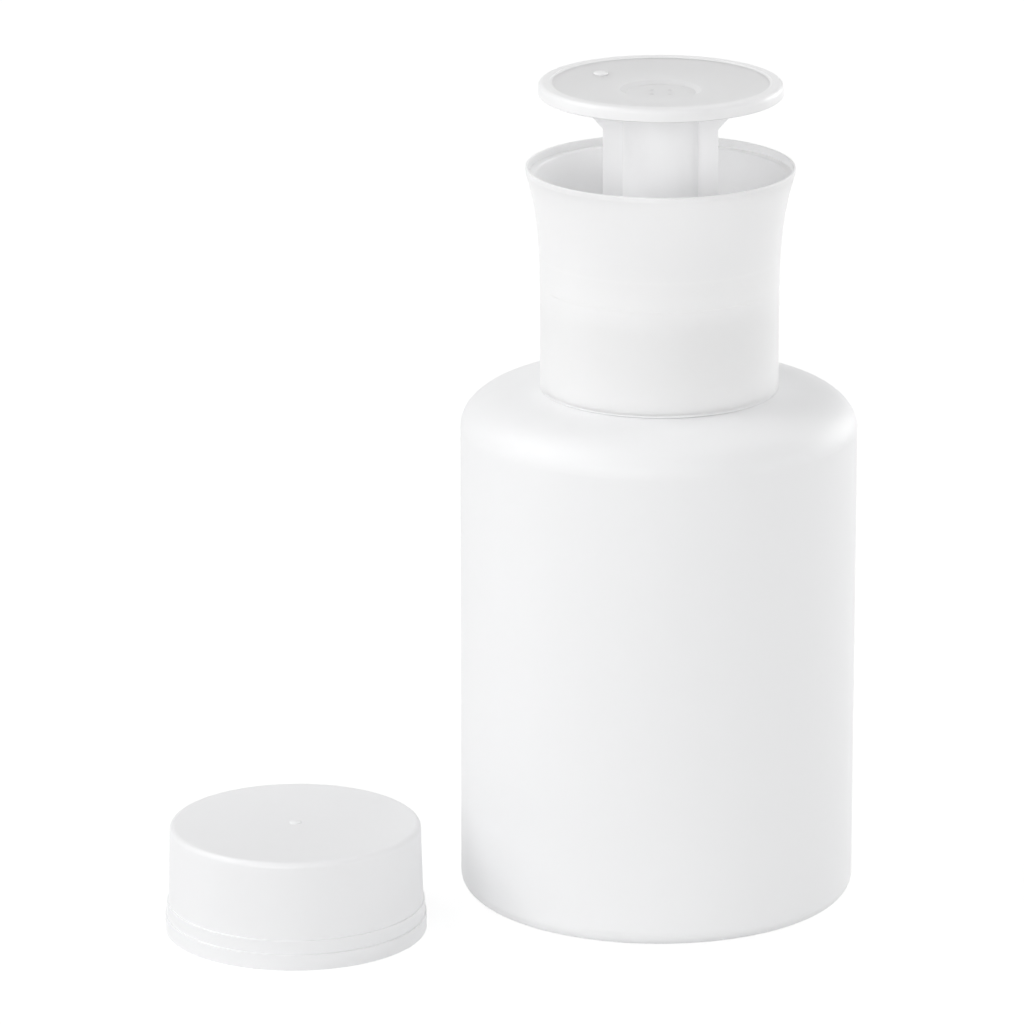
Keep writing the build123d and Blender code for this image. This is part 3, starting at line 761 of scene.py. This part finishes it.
class DISPENSER_OT_stage(bpy.types.Operator):
    """Set up the floor, the white room, the softboxes and the camera"""

    bl_idname = "dispenser.stage"
    bl_label = "Set Up Stage"

    def execute(self, context):
        look = context.scene.dispenser_stage
        self.light_room(context, look)
        self.lay_floor(context, look)
        for name, (turn, rise, strength) in SOFTBOXES.items():
            self.hang_softbox(context, look, name, turn, rise, strength)
        self.place_camera(context, look)
        context.scene.view_settings.view_transform = "Standard"
        context.scene.cycles.diffuse_bounces = LIGHT_BOUNCES
        return {"FINISHED"}

    def seen(self, recipe):
        """1 where the camera, a reflection or a view through the plastic sees the stage."""
        camera, glossy, through = [
            recipe.node("ShaderNodeLightPath", out=f"Is {ray} Ray")
            for ray in ("Camera", "Glossy", "Transmission")
        ]
        return (camera + glossy + through).held()

    def light_room(self, context, look):
        world = bpy.data.worlds.new("white_room")
        world.use_nodes = True
        recipe = Recipe(world.node_tree)
        strength = look.room_light + self.seen(recipe) * (1.0 - look.room_light)
        room = recipe.node("ShaderNodeBackground", values={"Color": rgba(WHITE), "Strength": strength})
        recipe.node("ShaderNodeOutputWorld", values={"Surface": room})
        context.scene.world = world

    def lay_floor(self, context, look):
        mesh = bmesh.new()
        bmesh.ops.create_grid(mesh, x_segments=8, y_segments=8, size=look.floor_size / 2)
        data = bpy.data.meshes.new("floor")
        mesh.to_mesh(data)
        mesh.free()
        floor = bpy.data.objects.new("floor", data)
        context.scene.collection.objects.link(floor)
        material = bpy.data.materials.new("white_floor")
        material.use_nodes = True
        recipe = Recipe(material.node_tree)
        plain = recipe.node("ShaderNodeBsdfDiffuse", values={"Color": rgba(WHITE, look.floor_bounce)})
        shaded = recipe.node("ShaderNodeBsdfDiffuse", values={"Color": rgba(WHITE, look.floor_shade)})
        glow = recipe.node(
            "ShaderNodeEmission", values={"Color": rgba(WHITE), "Strength": look.floor_glow}
        )
        bright = recipe.node("ShaderNodeAddShader", values={0: shaded, 1: glow})
        mixed = recipe.node("ShaderNodeMixShader", values={0: self.seen(recipe), 1: plain, 2: bright})
        recipe.node("ShaderNodeOutputMaterial", values={"Surface": mixed})
        data.materials.append(material)

    def hang_softbox(self, context, look, name, turn, rise, strength):
        lamp = bpy.data.lights.new(name, "AREA")
        lamp.energy = strength * look.lamp_power
        lamp.size = look.lamp_size
        way = Vector((sin(turn) * cos(rise), -cos(turn) * cos(rise), sin(rise)))
        holder = bpy.data.objects.new(name, lamp)
        holder.location = LAMP_AIM + way * look.lamp_distance
        holder.rotation_euler = way.to_track_quat("Z", "Y").to_euler()
        holder.visible_camera = False
        context.scene.collection.objects.link(holder)

    def place_camera(self, context, look):
        view = bpy.data.cameras.new("camera")
        view.sensor_width = SENSOR_WIDTH
        view.lens = look.lens
        view.clip_end = VIEW_DEPTH
        holder = bpy.data.objects.new("camera", view)
        holder.location = look.camera_place
        holder.rotation_euler = (pi / 2 - look.camera_tilt, 0.0, look.camera_turn)
        context.scene.collection.objects.link(holder)
        context.scene.camera = holder


class DISPENSER_OT_bottle(bpy.types.Operator):
    """Finish the bottle, and add its neck thread and the pinched weld under its base"""

    bl_idname = "dispenser.bottle"
    bl_label = "Finish Bottle"

    def execute(self, context):
        look = context.scene.dispenser_bottle
        material = blown_plastic("milky_blown_plastic", look)
        coat("bottle", material)
        ridge = thread_ridge(
            look.neck_radius, look.thread_height, look.thread_width, look.thread_pitch,
            look.thread_low, look.thread_turns, 0.0,
        )
        new_piece("neck_thread", "bottle", material, ridge)
        self.add_weld(look, material)
        return {"FINISHED"}

    def add_weld(self, look, material):
        steps, thinnest = 24, 0.12
        sections = []
        for step in range(steps + 1):
            share = 2 * step / steps - 1
            swell = max(thinnest, (1 - share**6) ** 0.5)
            sections.append([
                (
                    share * look.weld_length / 2,
                    across * look.weld_width * swell,
                    look.weld_level + deep * MM * swell,
                )
                for across, deep in WELD_FORM
            ])
        new_piece("base_weld", "bottle", material, swept(sections))


class DISPENSER_OT_collar(bpy.types.Operator):
    """Finish the screw collar with its drip cup, and add its foot's lip and its thread"""

    bl_idname = "dispenser.collar"
    bl_label = "Finish Collar"

    def execute(self, context):
        look = context.scene.dispenser_collar
        neck = context.scene.dispenser_bottle
        # The collar gets painted highlight and shade lines, and its skirt gets lighter downwards:
        # painted light under the drip cup
        material = moulded_plastic(
            "collar_plastic", look.colour, look.roughness, MILKY_WALL, COLLAR_HIGHLIGHT_AND_SHADE_LINES,
            pull=(1.0, 1.0, 0.3), painted_light_below=SKIRT_PAINTED_LIGHT,
        )
        coat("collar_cup", material)
        dense = moulded_plastic("collar_foot_plastic", look.colour, look.roughness, DENSE_WALL)
        lip = turned_ring(FOOT_LIP)
        new_piece("collar_foot_lip", "collar", dense, lip, corners=True)
        half_turn_down = pi - 2 * pi * (neck.thread_low - look.thread_low) / neck.thread_pitch
        ridge = thread_ridge(
            look.bore_radius, -look.thread_depth, look.thread_width, neck.thread_pitch,
            look.thread_low, look.thread_turns, half_turn_down,
        )
        new_piece("collar_thread", "collar", material, ridge)
        return {"FINISHED"}


class DISPENSER_OT_head(bpy.types.Operator):
    """Finish the dish and the push plate, with its gussets cut slimmer, and add small details"""

    bl_idname = "dispenser.head"
    bl_label = "Finish Push Plate"

    def execute(self, context):
        look = context.scene.dispenser_head
        # The plate's colour gets lighter on the tube and wings below the gussets' top: painted light in
        # the plate's shadow
        rim = moulded_plastic(
            "plate_plastic", look.colour, look.roughness, DENSE_WALL,
            painted_light_below=(look.gusset_high / MM, TUBE_PAINTED_LIGHT_DEPTH, TUBE_PAINTED_LIGHT),
        )
        # The dish's colour carries painted shade for its upward face
        dish = moulded_plastic("dish_plastic", look.dish_colour_with_painted_shade, look.roughness, HALF_MILKY_WALL)
        coat("push_plate", rim)
        coat("dish_insert", dish)
        below, beyond = look.gusset_low - TRIM_UNDER, look.gusset_reach + TRIM_BEYOND
        trim = [
            (look.wing_reach, below), (beyond, below), (beyond, look.gusset_high),
            (look.gusset_reach, look.gusset_high), (look.wing_reach, look.gusset_low),
        ]
        cut_copy("slim_push_plate", "push_plate", "plunger", rim, turned_ring(trim))
        new_piece("rim_bead", "plunger", rim, turned_ring(RIM_BEAD), corners=True)
        stub = turned(gate_stub(look.gate_radius, look.gate_height), Vector(look.gate_place))
        new_piece("dish_gate_mark", "plunger", rim, stub)
        self.cover_outlets(look)
        return {"FINISHED"}

    def cover_outlets(self, look):
        """A disc just under the mouth of each outlet in the well hides the hole's dark depth: painted
        light.
        """
        cover_grey = tuple(OUTLET_COVER_SHADE * part for part in look.dish_colour_with_painted_shade)
        # Painted light: a grey disc in each outlet instead of its dark depth
        material = moulded_plastic("outlet_painted_light_cover", cover_grey, look.roughness, DENSE_WALL)
        radius, ring = look.outlet_radius, look.outlet_ring
        profile = [(0.0, 0.0), (radius, 0.0), (radius, -OUTLET_COVER_DEPTH), (0.0, -OUTLET_COVER_DEPTH)]
        for outlet in range(OUTLETS):
            turn = pi / 4 + outlet * 2 * pi / OUTLETS
            centre = Vector((ring * cos(turn), ring * sin(turn), look.outlet_level))
            name, cover = f"outlet_painted_light_cover_{outlet}", turned(profile, centre)
            new_piece(name, "plunger", material, cover, corners=True)


class DISPENSER_OT_cap(bpy.types.Operator):
    """Finish the overcap, and add the gate's stub in the middle of its top"""

    bl_idname = "dispenser.cap"
    bl_label = "Finish Overcap"

    def execute(self, context):
        look = context.scene.dispenser_cap
        material = moulded_plastic("cap_plastic", look.colour, look.roughness, DENSE_WALL)
        coat("overcap", material)
        low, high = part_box("overcap")
        centre = Vector(((low.x + high.x) / 2, (low.y + high.y) / 2, high.z))
        stub = turned(gate_stub(look.gate_radius, look.gate_height), centre)
        new_piece("cap_gate_mark", "overcap", material, stub)
        return {"FINISHED"}


class DISPENSER_OT_pump(bpy.types.Operator):
    """Finish the pieces of the pump inside the bottle"""

    bl_idname = "dispenser.pump"
    bl_label = "Finish Pump"

    def execute(self, context):
        look = context.scene.dispenser_pump
        natural = soft_plastic("pump_plastic", look.colour, roughness=0.32, pit_size=0.9 * MM)
        soft = soft_plastic("piston_plastic", look.piston_colour, roughness=0.5, pit_size=0.5 * MM)
        foam = soft_plastic("gasket_foam", look.gasket_colour, roughness=0.8, pit_size=0.25 * MM)
        steel = drawn_steel("ball_steel", look.steel)
        for node in ("pump_barrel", "stop_ring", "ball_cage", "stem", "dip_tube"):
            coat(node, natural)
        coat("piston", soft)
        coat("neck_gasket", foam)
        for node in ("outlet_ball", "inlet_ball"):
            coat(node, steel)
        return {"FINISHED"}


class DISPENSER_OT_spring(bpy.types.Operator):
    """Wind the return spring"""

    bl_idname = "dispenser.spring"
    bl_label = "Wind Spring"

    def execute(self, context):
        look = context.scene.dispenser_pump
        steel = drawn_steel("spring_wire_steel", look.steel)
        coat("return_spring", steel)
        coil = new_piece("spring_coil", "pump_unit", steel, coil_mesh(look))
        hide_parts("return_spring")
        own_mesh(coil)
        return {"FINISHED"}


class DISPENSER_PT_panel(bpy.types.Panel):
    """The dispenser's pieces, in the order in which they are made"""

    bl_label = "Dispenser"
    bl_idname = "DISPENSER_PT_panel"
    bl_space_type = "VIEW_3D"
    bl_region_type = "UI"
    bl_category = "Dispenser"

    def draw(self, context):
        for operator in OPERATORS:
            self.layout.operator(operator.bl_idname)
        for name, group in SETTINGS.items():
            box = self.layout.box()
            for setting in group.__annotations__:
                box.prop(getattr(context.scene, name), setting)


SETTINGS = {
    "dispenser_stage": StageSettings,
    "dispenser_bottle": BottleSettings,
    "dispenser_collar": CollarSettings,
    "dispenser_head": HeadSettings,
    "dispenser_cap": CapSettings,
    "dispenser_pump": PumpSettings,
}
OPERATORS = [
    DISPENSER_OT_stage,
    DISPENSER_OT_bottle,
    DISPENSER_OT_collar,
    DISPENSER_OT_head,
    DISPENSER_OT_cap,
    DISPENSER_OT_pump,
    DISPENSER_OT_spring,
]


def register():
    for name, group in SETTINGS.items():
        bpy.utils.register_class(group)
        setattr(bpy.types.Scene, name, PointerProperty(type=group))
    for made in [*OPERATORS, DISPENSER_PT_panel]:
        bpy.utils.register_class(made)


def unregister():
    for made in [DISPENSER_PT_panel, *reversed(OPERATORS)]:
        bpy.utils.unregister_class(made)
    for name, group in SETTINGS.items():
        delattr(bpy.types.Scene, name)
        bpy.utils.unregister_class(group)


def main():
    register()
    bpy.ops.dispenser.stage()
    bpy.ops.dispenser.bottle()
    bpy.ops.dispenser.collar()
    bpy.ops.dispenser.head()
    bpy.ops.dispenser.cap()
    bpy.ops.dispenser.pump()
    bpy.ops.dispenser.spring()


if __name__ == "__main__":
    main()
